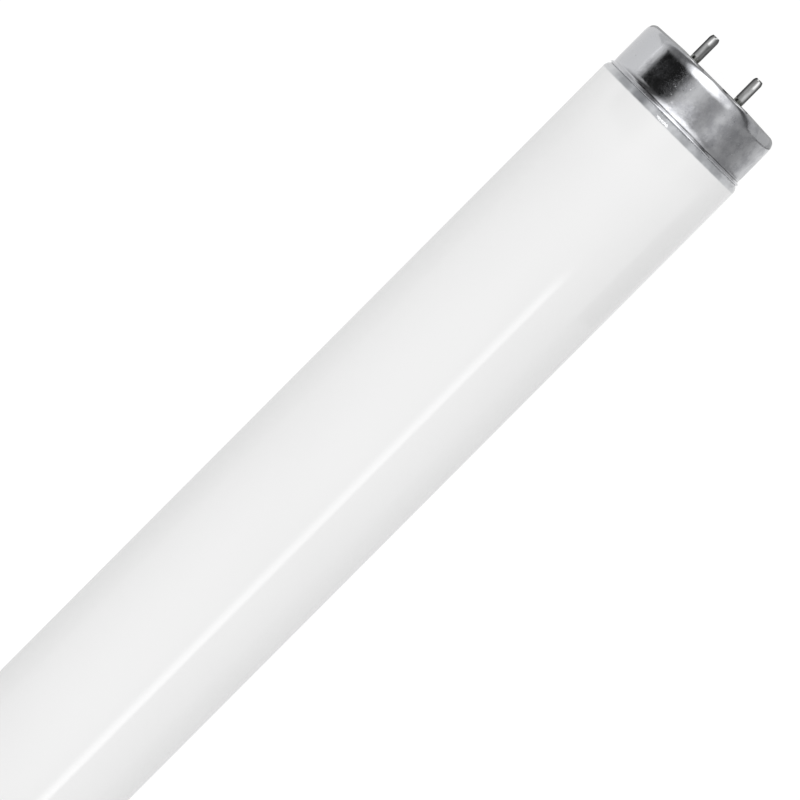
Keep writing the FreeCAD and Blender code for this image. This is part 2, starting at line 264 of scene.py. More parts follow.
# Their places are in millimetres: along the lamp from its middle, towards the rear, and up.
# A map range reads from input 1 to input 2 and gives 3 to 4, or 0 to 1. A mix goes by its share from
# input 2 to 3 where it mixes numbers, and from 6 to 7 where it mixes colours.
SMOOTH = {"interpolation_type": "SMOOTHSTEP"}
# Over this stretch by each cap the coating is painted lighter, a painted light, and it is wiped off along
# an edge that wanders a little
PAINTED_LIGHT_START = 262.0
PAINTED_LIGHT_FULL = 279.0
WIPE_START = 280.47
WIPE_END = 280.92
WIPE_WANDER = 0.06
# A smudge on the bare glass, with the distances where it starts and is full
SMUDGE_PLACE = (281.6, 9.0, 16.6)
SMUDGE_EDGE = 3.0
SMUDGE_CORE = 1.2
# Between these distances to the sides the bare glass turns paler
GLASS_GREY_SIDE = 14.0
GLASS_PALE_SIDE = 17.4
# Along the cap: the rim of the lip with its painted highlight, and the crease under it with its soft edges
RIM_HIGHLIGHT_FULL = 282.50
RIM_HIGHLIGHT_END = 282.62
CREASE_START = 283.06
CREASE_END = 283.36
CREASE_EDGE = 0.10
# Towards the rear: where scuffs from handling end, and where the painted shade and grime of the crease thin
# out
HANDLED_UP_TO = 11.8
UNTOUCHED_FROM = 13.6
CREASE_SHADE_THIN = 13
CREASE_SHADE_FULL = 2
# Dark specks and nicks of the sheet, as how many cells of them fill a millimetre
PITS_PER_MM = 0.9
NICKS_PER_MM = 0.5
# Along the pins: where the painted shade and tarnish by the face start to fade, and where they end
ROOT_SHADE_FULL = 295.2
ROOT_SHADE_END = 296.0


def new_finish(name):
    """An empty material, with the place on the object in millimetres."""
    finish = bpy.data.materials.new(name)
    tree = cleared(finish)
    spot = add(tree, "ShaderNodeTexCoord")["Object"]
    place = add(tree, "ShaderNodeVectorMath", {0: spot, 1: (1 / MM,) * 3}, operation="MULTIPLY")[0]
    return finish, tree, place


def coated_glass():
    """Drawn soda-lime tube with powder coating inside. The clear glass gives a crisp, thin
    shine over a flat white, and the bare end, which the coating leaves free, looks grey."""
    finish, tree, place = new_finish("powder_coated_soda_lime_glass")
    apart = add(tree, "ShaderNodeSeparateXYZ", {0: place})
    end = add(tree, "ShaderNodeMath", {0: apart["X"]}, operation="ABSOLUTE")[0]
    # The powder settles in broad faint clouds
    drawn = add(tree, "ShaderNodeVectorMath", {0: place, 1: (0.35, 1, 1)}, operation="MULTIPLY")[0]
    cloud = add(tree, "ShaderNodeTexNoise", {"Vector": drawn, "Scale": 1 / 22, "Detail": 2.0})[0]
    cloudy = add(tree, "ShaderNodeMapRange", {0: cloud, 1: 0.3, 2: 0.7}, **SMOOTH)[0]
    tones = {0: cloudy, 6: shade("EFEFEF"), 7: shade("F1F1F1")}
    coat = add(tree, "ShaderNodeMix", tones, data_type="RGBA")[2]
    # Painted light: near each end, by the cap, the coating is painted a touch lighter
    painted_light_span = {0: end, 1: PAINTED_LIGHT_START, 2: PAINTED_LIGHT_FULL, 4: 0.6}
    painted_light_near_cap = add(tree, "ShaderNodeMapRange", painted_light_span, **SMOOTH)[0]
    coat = add(tree, "ShaderNodeMix", {0: painted_light_near_cap, 6: coat, 7: shade("F4F4F4")}, data_type="RGBA")[2]
    # Bare glass is painted grey in soft uneven patches: painted shade for the dim inside of the cap behind
    # it
    patches = add(tree, "ShaderNodeTexNoise", {"Vector": place, "Scale": 1 / 3.6, "Detail": 3.0})[0]
    patchy = add(tree, "ShaderNodeMapRange", {0: patches, 1: 0.35, 2: 0.68}, **SMOOTH)[0]
    tones = {0: patchy, 6: shade("A0A2A5"), 7: shade("C2C4C7")}
    bare = add(tree, "ShaderNodeMix", tones, data_type="RGBA")[2]
    # A smoky smudge darkens one place, and towards the sides, as seen from above, the bare glass is painted
    # paler: painted light
    apart_from = {0: place, 1: SMUDGE_PLACE}
    away = add(tree, "ShaderNodeVectorMath", apart_from, operation="DISTANCE")["Value"]
    smoky = {0: away, 1: SMUDGE_EDGE, 2: SMUDGE_CORE, 4: 0.68}
    smudge = add(tree, "ShaderNodeMapRange", smoky, **SMOOTH)[0]
    bare = add(tree, "ShaderNodeMix", {0: smudge, 6: bare, 7: shade("6A6C70")}, data_type="RGBA")[2]
    aside = add(tree, "ShaderNodeMath", {0: apart["Y"]}, operation="ABSOLUTE")[0]
    paler = {0: aside, 1: GLASS_GREY_SIDE, 2: GLASS_PALE_SIDE, 4: 0.55}
    pale = add(tree, "ShaderNodeMapRange", paler, **SMOOTH)[0]
    bare = add(tree, "ShaderNodeMix", {0: pale, 6: bare, 7: shade("E6E7E9")}, data_type="RGBA")[2]
    # The coating was wiped off along a slightly wandering edge
    wander = add(tree, "ShaderNodeTexNoise", {"Vector": place, "Scale": 1 / 1.2, "Detail": 2.0})[0]
    shift = add(tree, "ShaderNodeMapRange", {0: wander, 3: -WIPE_WANDER, 4: WIPE_WANDER})[0]
    edge = add(tree, "ShaderNodeMath", {0: end, 1: shift}, operation="ADD")[0]
    bare_share = add(tree, "ShaderNodeMapRange", {0: edge, 1: WIPE_START, 2: WIPE_END}, **SMOOTH)[0]
    colour = add(tree, "ShaderNodeMix", {0: bare_share, 6: coat, 7: bare}, data_type="RGBA")[2]
    # Draw lines run along the tube
    long = add(tree, "ShaderNodeVectorMath", {0: place, 1: (0.02, 1, 1)}, operation="MULTIPLY")[0]
    lines = add(tree, "ShaderNodeTexNoise", {"Vector": long, "Scale": 1 / 1.6, "Detail": 2.0})[0]
    relief = add(tree, "ShaderNodeBump", {"Height": lines, "Distance": 0.0012 * MM})[0]
    film = add(tree, "ShaderNodeVectorMath", {0: place, 1: (0.2, 1, 1)}, operation="MULTIPLY")[0]
    haze = add(tree, "ShaderNodeTexNoise", {"Vector": film, "Scale": 1 / 6, "Detail": 3.0})[0]
    rough = add(tree, "ShaderNodeMapRange", {0: haze, 1: 0.3, 2: 0.7, 3: 0.05, 4: 0.08}, **SMOOTH)[0]
    look = {"Base Color": colour, "Roughness": rough, "IOR": 1.52, "Normal": relief}
    surface = add(tree, "ShaderNodeBsdfPrincipled", look)[0]
    add(tree, "ShaderNodeOutputMaterial", {"Surface": surface})
    return finish


def drawn_aluminium():
    """Thin aluminium sheet, drawn over a punch. It mirrors the room, blurred in cloudy patches
    where the tool and many hands have scuffed it."""
    finish, tree, place = new_finish("drawn_aluminium_sheet")
    apart = add(tree, "ShaderNodeSeparateXYZ", {0: place})
    end = add(tree, "ShaderNodeMath", {0: apart["X"]}, operation="ABSOLUTE")[0]
    wide = {"Vector": place, "Scale": 1 / 3.4, "Detail": 4.0, "Roughness": 0.6}
    clouds = add(tree, "ShaderNodeTexNoise", wide)[0]
    close = {"Vector": place, "Scale": 1 / 0.7, "Detail": 3.0, "Roughness": 0.6}
    fine = add(tree, "ShaderNodeTexNoise", close)[0]
    scuffed = add(tree, "ShaderNodeMapRange", {0: clouds, 1: 0.38, 2: 0.66}, **SMOOTH)[0]
    # The rear side was handled less and is more even
    handled = {0: apart["Y"], 1: HANDLED_UP_TO, 2: UNTOUCHED_FROM, 3: 1.0, 4: 0.0}
    touched = add(tree, "ShaderNodeMapRange", handled, **SMOOTH)[0]
    tone = add(tree, "ShaderNodeMix", {0: touched, 2: 0.22, 3: scuffed}, data_type="FLOAT")[0]
    tones = {0: tone, 6: shade("D3D4D7"), 7: shade("B4B5B9")}
    colour = add(tree, "ShaderNodeMix", tones, data_type="RGBA")[2]
    # Painted highlight: the burnished rim of the lip is painted the brightest
    rim_highlight_span = {0: end, 1: RIM_HIGHLIGHT_FULL, 2: RIM_HIGHLIGHT_END, 3: 1.0, 4: 0.0}
    rim = add(tree, "ShaderNodeMapRange", rim_highlight_span, **SMOOTH)[0]
    colour = add(tree, "ShaderNodeMix", {0: rim, 6: colour, 7: shade("ECECEE")}, data_type="RGBA")[2]
    # Painted shade: the crease under the lip is painted as one thin dark line, most on the front side, for
    # the shade and dark reflection in it, with some grime
    inner_edge = {0: end, 1: CREASE_START, 2: CREASE_START + CREASE_EDGE}
    inner = add(tree, "ShaderNodeMapRange", inner_edge, **SMOOTH)[0]
    outer_edge = {0: end, 1: CREASE_END - CREASE_EDGE, 2: CREASE_END, 3: 1.0, 4: 0.0}
    outer = add(tree, "ShaderNodeMapRange", outer_edge, **SMOOTH)[0]
    crease = add(tree, "ShaderNodeMath", {0: inner, 1: outer}, operation="MULTIPLY")[0]
    patchy_line = add(tree, "ShaderNodeMapRange", {0: clouds, 1: 0.3, 2: 0.6, 3: 0.5, 4: 0.85}, **SMOOTH)[0]
    gathering = {0: apart["Y"], 1: CREASE_SHADE_THIN, 2: CREASE_SHADE_FULL, 3: 0.12, 4: 1.0}
    gathered = add(tree, "ShaderNodeMapRange", gathering, **SMOOTH)[0]
    crease_shade_and_grime = add(tree, "ShaderNodeMath", {0: crease, 1: patchy_line}, operation="MULTIPLY")[0]
    crease_shade_and_grime = add(tree, "ShaderNodeMath", {0: crease_shade_and_grime, 1: gathered}, operation="MULTIPLY")[0]
    colour = add(tree, "ShaderNodeMix", {0: crease_shade_and_grime, 6: colour, 7: shade("3A3A3C")}, data_type="RGBA")[2]
    # A few pits keep a dark speck
    cells = {"Vector": place, "Scale": PITS_PER_MM}
    spots = add(tree, "ShaderNodeTexVoronoi", cells, feature="F1")["Distance"]
    hole = add(tree, "ShaderNodeMapRange", {0: spots, 1: 0.05, 2: 0.11, 3: 1.0, 4: 0.0}, **SMOOTH)[0]
    some = add(tree, "ShaderNodeMapRange", {0: clouds, 1: 0.5, 2: 0.6}, **SMOOTH)[0]
    pits = add(tree, "ShaderNodeMath", {0: hole, 1: some}, operation="MULTIPLY")[0]
    colour = add(tree, "ShaderNodeMix", {0: pits, 6: colour, 7: shade("6A6A6D")}, data_type="RGBA")[2]
    # Scuffs blur the mirror image, and a few nicks scatter more light
    cells = {"Vector": place, "Scale": NICKS_PER_MM}
    nick = add(tree, "ShaderNodeTexVoronoi", cells, feature="F1")["Distance"]
    nicks = add(tree, "ShaderNodeMapRange", {0: nick, 1: 0.05, 2: 0.10, 3: 0.30, 4: 0.0}, **SMOOTH)[0]
    grain = add(tree, "ShaderNodeMapRange", {0: fine, 1: 0.3, 2: 0.75, 3: -0.02, 4: 0.04}, **SMOOTH)[0]
    dull = add(tree, "ShaderNodeMapRange", {0: clouds, 1: 0.38, 2: 0.68, 3: 0.10, 4: 0.20}, **SMOOTH)[0]
    rough = add(tree, "ShaderNodeMath", {0: dull, 1: grain}, operation="ADD")[0]
    rough = add(tree, "ShaderNodeMath", {0: rough, 1: nicks}, operation="ADD")[0]
    # Shallow dents from the tool and from handling
    broad = add(tree, "ShaderNodeTexNoise", {"Vector": place, "Scale": 1 / 5.0, "Detail": 1.0})[0]
    relief = add(tree, "ShaderNodeBump", {"Height": broad, "Distance": 0.06 * MM})[0]
    small = add(tree, "ShaderNodeTexNoise", {"Vector": place, "Scale": 1 / 1.9, "Detail": 2.0})[0]
    relief = add(tree, "ShaderNodeBump", {"Height": small, "Distance": 0.022 * MM, "Normal": relief})[0]
    relief = add(tree, "ShaderNodeBump", {"Height": fine, "Distance": 0.005 * MM, "Normal": relief})[0]
    look = {"Base Color": colour, "Metallic": 1.0, "Roughness": rough, "Normal": relief}
    surface = add(tree, "ShaderNodeBsdfPrincipled", look)[0]
    add(tree, "ShaderNodeOutputMaterial", {"Surface": surface})
    return finish


def nickel_plated_brass():
    """Turned brass pins with thin nickel. Bright, and painted darker where they leave the cap: painted
    shade with some tarnish.
    """
    finish, tree, place = new_finish("nickel_plated_brass")
    along = add(tree, "ShaderNodeSeparateXYZ", {0: place})["X"]
    end = add(tree, "ShaderNodeMath", {0: along}, operation="ABSOLUTE")[0]
    drawn = add(tree, "ShaderNodeVectorMath", {0: place, 1: (0.5, 1, 1)}, operation="MULTIPLY")[0]
    clouds = add(tree, "ShaderNodeTexNoise", {"Vector": drawn, "Scale": 1 / 1.1, "Detail": 4.0})[0]
    worn = add(tree, "ShaderNodeMapRange", {0: clouds, 1: 0.3, 2: 0.7}, **SMOOTH)[0]
    tones = {0: worn, 6: shade("CFCFCF"), 7: shade("AEAFAF")}
    colour = add(tree, "ShaderNodeMix", tones, data_type="RGBA")[2]
    # Painted shade: the pins are painted darker where they leave the face, with some tarnish
    root_shade_span = {0: end, 1: ROOT_SHADE_FULL, 2: ROOT_SHADE_END, 3: 0.8, 4: 0.0}
    low = add(tree, "ShaderNodeMapRange", root_shade_span, **SMOOTH)[0]
    spread = add(tree, "ShaderNodeMapRange", {0: clouds, 1: 0.2, 2: 0.6, 3: 0.6, 4: 1.0}, **SMOOTH)[0]
    root_shade_and_tarnish = add(tree, "ShaderNodeMath", {0: low, 1: spread}, operation="MULTIPLY")[0]
    colour = add(tree, "ShaderNodeMix", {0: root_shade_and_tarnish, 6: colour, 7: shade("5A5C54")}, data_type="RGBA")[2]
    rough = add(tree, "ShaderNodeMapRange", {0: clouds, 1: 0.3, 2: 0.7, 3: 0.12, 4: 0.22}, **SMOOTH)[0]
    # Turning marks ring the pin
    round_it = add(tree, "ShaderNodeVectorMath", {0: place, 1: (1, 0.15, 0.15)}, operation="MULTIPLY")[0]
    rings = add(tree, "ShaderNodeTexNoise", {"Vector": round_it, "Scale": 1 / 0.35, "Detail": 2.0})[0]
    relief = add(tree, "ShaderNodeBump", {"Height": rings, "Distance": 0.010 * MM})[0]
    look = {"Base Color": colour, "Metallic": 1.0, "Roughness": rough, "Normal": relief}
    surface = add(tree, "ShaderNodeBsdfPrincipled", look)[0]
    add(tree, "ShaderNodeOutputMaterial", {"Surface": surface})
    return finish


def moulded_phenolic():
    """Dark phenolic moulding, hard and close-grained, with a dull shine."""
    finish, tree, place = new_finish("moulded_phenolic")
    flour = add(tree, "ShaderNodeTexNoise", {"Vector": place, "Scale": 1 / 0.5, "Detail": 4.0})[0]
    mottled = add(tree, "ShaderNodeMapRange", {0: flour, 1: 0.3, 2: 0.7}, **SMOOTH)[0]
    tones = {0: mottled, 6: shade("2A211C"), 7: shade("3A2E27")}
    colour = add(tree, "ShaderNodeMix", tones, data_type="RGBA")[2]
    rough = add(tree, "ShaderNodeMapRange", {0: mottled, 3: 0.35, 4: 0.5})[0]
    relief = add(tree, "ShaderNodeBump", {"Height": flour, "Distance": 0.01 * MM})[0]
    look = {"Base Color": colour, "Roughness": rough, "Normal": relief}
    surface = add(tree, "ShaderNodeBsdfPrincipled", look)[0]
    add(tree, "ShaderNodeOutputMaterial", {"Surface": surface})
    return finish


def baked_cement():
    """Capping cement, baked hard. Matt and sandy."""
    finish, tree, place = new_finish("baked_capping_cement")
    sand = add(tree, "ShaderNodeTexNoise", {"Vector": place, "Scale": 1 / 0.6, "Detail": 5.0})[0]
    sandy = add(tree, "ShaderNodeMapRange", {0: sand, 1: 0.3, 2: 0.7}, **SMOOTH)[0]
    tones = {0: sandy, 6: shade("A08A63"), 7: shade("C9B892")}
    colour = add(tree, "ShaderNodeMix", tones, data_type="RGBA")[2]
    rough = add(tree, "ShaderNodeMapRange", {0: sandy, 3: 0.8, 4: 0.95})[0]
    relief = add(tree, "ShaderNodeBump", {"Height": sand, "Distance": 0.05 * MM})[0]
    look = {"Base Color": colour, "Roughness": rough, "Normal": relief}
    surface = add(tree, "ShaderNodeBsdfPrincipled", look)[0]
    add(tree, "ShaderNodeOutputMaterial", {"Surface": surface})
    return finish


def nickel_iron_wire():
    """Drawn nickel-iron wire, greyish, with fine draw lines along it."""
    finish, tree, place = new_finish("drawn_nickel_iron_wire")
    long = add(tree, "ShaderNodeVectorMath", {0: place, 1: (0.05, 1, 1)}, operation="MULTIPLY")[0]
    lines = add(tree, "ShaderNodeTexNoise", {"Vector": long, "Scale": 1 / 0.12, "Detail": 3.0})[0]
    lined = add(tree, "ShaderNodeMapRange", {0: lines, 1: 0.3, 2: 0.7}, **SMOOTH)[0]
    tones = {0: lined, 6: shade("AFA9A0"), 7: shade("8C857B")}
    colour = add(tree, "ShaderNodeMix", tones, data_type="RGBA")[2]
    rough = add(tree, "ShaderNodeMapRange", {0: lined, 3: 0.25, 4: 0.42})[0]
    relief = add(tree, "ShaderNodeBump", {"Height": lines, "Distance": 0.004 * MM})[0]
    look = {"Base Color": colour, "Metallic": 1.0, "Roughness": rough, "Normal": relief}
    surface = add(tree, "ShaderNodeBsdfPrincipled", look)[0]
    add(tree, "ShaderNodeOutputMaterial", {"Surface": surface})
    return finish


turning_tree = build_turning_tree()
glass = coated_glass()
aluminium = drawn_aluminium()
nickel = nickel_plated_brass()
phenolic = moulded_phenolic()
cement = baked_cement()
wire = nickel_iron_wire()

# The lamp


def envelope_end():
    """Profile of the envelope from the middle of the tube to the tip of the exhaust tube."""
    bend_x = (SHOULDER_START + SHOULDER_END) / 2
    bend_r = (TUBE_RADIUS + NECK_RADIUS) / 2
    flare_bend = FLARE_MOUTH - STEM_RADIUS
    tip_start = EXHAUST_TIP - EXHAUST_RADIUS
    return [
        (0, TUBE_RADIUS),
        (SHOULDER_START, TUBE_RADIUS),
        (bend_x, bend_r, SHOULDER_BEND, -1),
        (SHOULDER_END, NECK_RADIUS, SHOULDER_BEND, 1),
        (SEAL_END - SEAL_BEND, NECK_RADIUS),
        (SEAL_END, NECK_RADIUS - SEAL_BEND, SEAL_BEND, -1),
        (SEAL_END, FLARE_MOUTH),
        (SEAL_END - flare_bend, STEM_RADIUS, flare_bend, -1),
        (STEM_FLOOR, STEM_RADIUS),
        (STEM_FLOOR, EXHAUST_RADIUS),
        (tip_start, EXHAUST_RADIUS),
        (EXHAUST_TIP, 0, EXHAUST_RADIUS, -1),
    ]


def mirrored(steps):
    """The same steps for the other end of the lamp."""
    return [(-s[0], s[1], *([s[2], -s[3]] if len(s) > 2 else [])) for s in steps]


def reversed_steps(steps):
    """The same line walked the other way, so that each arc ends where it began."""
    places = [s[:2] for s in steps][::-1]
    arcs = [s[2:] for s in steps][::-1]
    out = [places[0]]
    for place, arc in zip(places[1:], arcs[:-1]):
        out.append((*place, *([arc[0], -arc[1]] if arc else [])))
    return out


half = envelope_end()
tube = turn("glass_envelope", reversed_steps(mirrored(half)) + half[1:], glass)
ride_as(tube, "glass_tube")


def shell_steps():
    """Profile of the cap's shell, from the middle of its face over the lip and back inside."""
    face = FACE_PLANE
    corner_x = face - CROWN_DROP
    lean_drop = LEAN_BEND * (1 - math.cos(CORNER_LEAN))
    lean_r = SKIRT_RADIUS - lean_drop
    corner_r = lean_r - CORNER_BEND * math.cos(CORNER_LEAN)
    lean_x = corner_x - CORNER_BEND * (1 - math.sin(CORNER_LEAN))
    crease_x = face - CREASE_DEPTH
    crease_r = SKIRT_RADIUS - CREASE_DIP
    swell = ((CREASE_DEPTH - SWELL_START) ** 2 + CREASE_DIP**2) / (2 * CREASE_DIP)
    lip_x = face - LIP_EDGE_DEPTH
    edge_x = lip_x - BURNISH_REACH
    edge_r = LIP_EDGE_RADIUS - BURNISH_DROP
    inner_foot = face - LIP_FOOT_DEPTH
    inner_r = SKIRT_RADIUS - SHELL_WALL
    return [
        (face, 0),
        (face, CROWN_RADIUS),
        (corner_x, corner_r),
        (lean_x, lean_r, CORNER_BEND, 1),
        (lean_x - LEAN_BEND * math.sin(CORNER_LEAN), SKIRT_RADIUS, LEAN_BEND, 1),
        (face - SWELL_START, SKIRT_RADIUS),
        (crease_x, crease_r, swell, 1),
        (face - LIP_FLARE_DEPTH, LIP_FLARE_RADIUS, LIP_BEND, -1),
        (lip_x, LIP_EDGE_RADIUS, LIP_BEND, 1),
        (edge_x, edge_r, BURNISH_BEND, 1),
        (inner_foot, inner_r, LIP_INNER_BEND, 1),
        (corner_x - CORNER_BEND, inner_r),
        (corner_x - SHELL_WALL, corner_r, CORNER_BEND - SHELL_WALL, -1),
        (face - SHELL_WALL, CROWN_RADIUS),
        (face - SHELL_WALL, 0),
    ]


def slot_cutter(sign):
    """A prism with round ends that cuts the window for the insulating boss."""
    rim = []
    for centre, first in ((PIN_REACH, -90), (-PIN_REACH, 90)):
        for i in range(WINDOW_END_PIECES + 1):
            a = math.radians(first + 180 * i / WINDOW_END_PIECES)
            rim.append((centre + WINDOW_RADIUS * math.cos(a), WINDOW_RADIUS * math.sin(a)))
    near, far = sorted(sign * (FACE_PLANE + d) for d in (-CUTTER_OVERRUN, CUTTER_OVERRUN))
    count = len(rim)
    corners = [(near, y, z) for y, z in rim] + [(far, y, z) for y, z in rim]
    faces = [(i, (i + 1) % count, count + (i + 1) % count, count + i) for i in range(count)]
    faces += [tuple(range(count)), tuple(range(count, 2 * count))]
    mesh = bpy.data.meshes.new("window_cutter")
    mesh.from_pydata(corners, [], faces)
    return settle(new_object("window_cutter", mesh))


def cut_window(piece, sign):
    """Cuts the slot-shaped window through the face of the shell."""
    cutter = slot_cutter(sign)
    cut = piece.modifiers.new("window", "BOOLEAN")
    cut.operation = "DIFFERENCE"
    cut.solver = "EXACT"
    cut.object = cutter
    mesh = evaluated_mesh(piece)
    piece.modifiers.remove(cut)
    bpy.data.objects.remove(cutter)
    piece.data = mesh
    return settle(piece)


def pin_steps():
    """Profile of a hollow pin, a closed line round its wall."""
    flange = FACE_PLANE - PIN_FLANGE_DEPTH
    flange_back = flange - PIN_FLANGE_WIDTH
    nose = PIN_TIP - PIN_NOSE
    nose_r = PIN_RADIUS - PIN_NOSE_BEND + math.sqrt(PIN_NOSE_BEND**2 - PIN_NOSE**2)
    boss = FACE_PLANE - BOSS_RECESS
    return [
        (flange_back, PIN_BORE),
        (nose, PIN_BORE),
        (PIN_TIP - PIN_NOSE / 2, PIN_EYE),
        (PIN_TIP, PIN_EYE),
        (PIN_TIP, nose_r),
        (nose, PIN_RADIUS, PIN_NOSE_BEND, 1),
        (boss, PIN_RADIUS),
        (boss, PIN_ROOT_RADIUS),
        (flange, PIN_ROOT_RADIUS),
        (flange, PIN_FLANGE_RADIUS),
        (flange_back, PIN_FLANGE_RADIUS),
        (flange_back, PIN_BORE),
    ]


for side, sign in SIDES.items():
    shell_line = shell_steps() if sign > 0 else mirrored(shell_steps())
    shell = turn(f"cap_shell_{side}", shell_line, aluminium)
    ride_as(cut_window(shell, sign), f"end_cap_{side}")
    pin_line = pin_steps() if sign > 0 else mirrored(pin_steps())
    for row, place in ROWS.items():
        shift = (0, place * PIN_REACH, 0)
        pin = turn(f"pin_{side}_{row}", pin_line, nickel, segments=PIN_SEGMENTS, shift=shift)
        ride_as(pin, f"contact_pin_{side}_{row}")
    carried = {f"base_insulator_{side}": phenolic, f"base_cement_{side}": cement}
    carried |= {f"lead_wire_{side}_{row}": wire for row in ROWS}
    for node, finish in carried.items():
        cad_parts[node].data.materials.clear()
        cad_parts[node].data.materials.append(finish)

# Studio


def seen_directly(tree):
    """1 for rays from the camera, a mirror or clear glass, and 0 for light on a matt surface."""
    path = add(tree, "ShaderNodeLightPath")
    rays = {0: path["Is Camera Ray"], 1: path["Is Glossy Ray"]}
    seen = add(tree, "ShaderNodeMath", rays, operation="ADD")[0]
    seen = add(tree, "ShaderNodeMath", {0: seen, 1: path["Is Transmission Ray"]}, operation="ADD")[0]
    return add(tree, "ShaderNodeMath", {0: seen, 1: 1.0}, operation="MINIMUM")[0]


def build_floor():
    """White paper sweep. It looks white, and the lamp's shadow stays on it as a faint grey."""
    half_side = 40.0
    corners = [(x, y, -TUBE_RADIUS) for x, y in ((-1, -1), (1, -1), (1, 1), (-1, 1))]
    mesh = bpy.data.meshes.new("studio_floor")
    mesh.from_pydata([(x * half_side, y * half_side, z) for x, y, z in corners], [], [(0, 1, 2, 3)])
    floor = new_object("studio_floor", mesh)
    paper = bpy.data.materials.new("white_paper_sweep")
    tree = cleared(paper)
    matt = add(tree, "ShaderNodeBsdfDiffuse", {"Color": shade("EAEAEA")})[0]
    faint = add(tree, "ShaderNodeBsdfDiffuse", {"Color": (0.16, 0.16, 0.16, 1)})[0]
    glow = add(tree, "ShaderNodeEmission", {"Color": (1, 1, 1, 1), "Strength": 0.90})[0]
    pale = add(tree, "ShaderNodeAddShader", {0: faint, 1: glow})[0]
    mixed = add(tree, "ShaderNodeMixShader", {0: seen_directly(tree), 1: matt, 2: pale})[0]
    add(tree, "ShaderNodeOutputMaterial", {"Surface": mixed})
    floor.data.materials.append(paper)


def build_world():
    """White surroundings, a little weaker as light on the lamp than as what is seen."""
    world = bpy.data.worlds.new("studio_white")
    tree = cleared(world)
    strength = add(tree, "ShaderNodeMapRange", {0: seen_directly(tree), 3: 0.74, 4: 1.0})[0]
    sky = add(tree, "ShaderNodeBackground", {"Color": (1, 1, 1, 1), "Strength": strength})[0]
    add(tree, "ShaderNodeOutputWorld", {"Surface": sky})
    bpy.context.scene.world = world


def build_softbox():
    """A wide softbox over the lamp. Cards stand for it in the shiny parts."""
    box = bpy.data.lights.new("softbox", "AREA")
    box.shape = "RECTANGLE"
    box.size, box.size_y = 1.6, 1.2
    box.energy = 6.6
    light = new_object("softbox", box)
    light.location = (0.1, 0.05, 1.4)
    light.visible_camera = False
    light.visible_glossy = False


# Grey of the studio as the cap mirrors it, by degrees from straight up towards the rear
ROOM = (
    (-180, 1.0), (-124, 0.88), (-110, 0.60), (-99, 0.38), (-90, 0.33), (-75, 0.33), (-62, 0.39),
    (-50, 0.58), (-40, 0.76), (-29, 0.48), (-17, 0.36), (-7, 0.53), (2, 0.70),
    (10, 0.76), (18, 0.58), (24, 0.33), (29, 0.11), (34, 0.015), (75, 0.012), (80.5, 0.55), (90, 0.90),
    (106, 0.84), (126, 0.8),
)
# The bright openings at both ends of the room, behind the lip and before the face
BEHIND = (
    (-180, 0.5), (-100, 0.55), (-84, 0.34), (-62, 0.33), (-42, 0.34), (-31, 0.38), (-24, 0.95), (-16, 1.2),
    (-6, 1.9), (13, 2.2), (18, 1.5), (23, 0.7), (29, 0.09), (44, 0.05), (52, 0.22), (60, 0.48),
    (68, 0.66), (78, 0.82), (90, 0.92), (106, 0.95), (180, 0.9),
)
BEFORE = (
    (-180, 0.5), (-90, 0.5), (-82, 0.34), (-62, 0.34), (-50, 0.46), (-40, 0.72), (-30, 1.25), (-17, 1.3),
    (-6, 1.9), (15, 2.2), (27, 1.8), (35, 0.95), (41, 0.22), (55, 0.18), (66, 0.20), (73, 0.32),
    (80, 0.62), (90, 0.75), (180, 0.75),
)
# Straight before the middle of the face the room is dim, except overhead
DIM = ((-180, 0.42), (-42, 0.40), (-24, 0.9), (-5, 1.8), (14, 2.6), (27, 1.3), (36, 0.34), (180, 0.36))
# What the pins mirror, by degrees round their own axes: a pale band between dark sides
HOODS = {
    "rear": (
        (-180, 0.3), (-125, 0.14), (-80, 0.15), (-55, 0.28), (-30, 0.22), (-18, 0.26), (-5, 0.50),
        (8, 0.70), (25, 0.74), (42, 0.62), (60, 0.46), (80, 0.16), (95, 0.06), (145, 0.05), (180, 0.3),
    ),
    "front": (
        (-180, 0.3), (-140, 0.30), (-100, 0.12), (-72, 0.22), (-50, 0.70), (-24, 1.05), (0, 0.85),
        (21, 0.55), (42, 0.50), (60, 0.32), (80, 0.12), (145, 0.06), (180, 0.3),
    ),
}
# Near the tip the pale band is narrower and brighter
TIP_HOODS = {
    "rear": (
        (-180, 0.3), (-125, 0.14), (-80, 0.15), (-60, 0.22), (-40, 0.30), (-21, 0.62), (-8, 1.2),
        (13, 2.0), (30, 1.0), (46, 0.5), (60, 0.38), (80, 0.16), (95, 0.06), (145, 0.05), (180, 0.3),
    ),
    "front": (
        (-180, 0.3), (-140, 0.30), (-100, 0.12), (-72, 0.22), (-58, 0.48), (-40, 1.2), (-22, 1.9),
        (-4, 1.1), (13, 0.5), (42, 0.45), (60, 0.32), (80, 0.12), (145, 0.06), (180, 0.3),
    ),
}
# Even greys: the floor before the face and the shaded floor close to the face, the dark fold of the
# backdrop and the paler wall under it, the shaded floor beside the glass and the painted shadow under the
# front pin, and the studio light's bulb
EVEN = {"apron": 0.62, "shade": 0.42, "fold": 0.10, "pale": 0.52, "side": 0.82, "pin_shadow": 0.04, "bulb": 13.0}
# Between these distances from the axis the cards turn from their inner greys to their outer ones
INNER_GREYS_END = 0.07
OUTER_GREYS_START = 0.24
# The room round a cap, from behind its lip to the wall before its face, as places of the right cap's cards
ROOM_NEAR = FACE_PLANE - 11.7 * MM
ROOM_FAR = 0.313
ROOM_RADIUS = 0.35
OPENING_INNER = 0.0195
OPENING_OUTER = 0.060
DIM_RADIUS = 0.012
# The floor in it, the strip of it under the pins, from the face on, and the painted shadow under the front
# pin in that strip
FLOOR_START = 0.24
FLOOR_END = 0.45
PIN_FLOOR_REACH = 0.025
PIN_FLOOR_START = 0.2952
PIN_SHADOW_END = 0.3045
PIN_SHADOW_SIDES = (-0.0095, -0.0022)
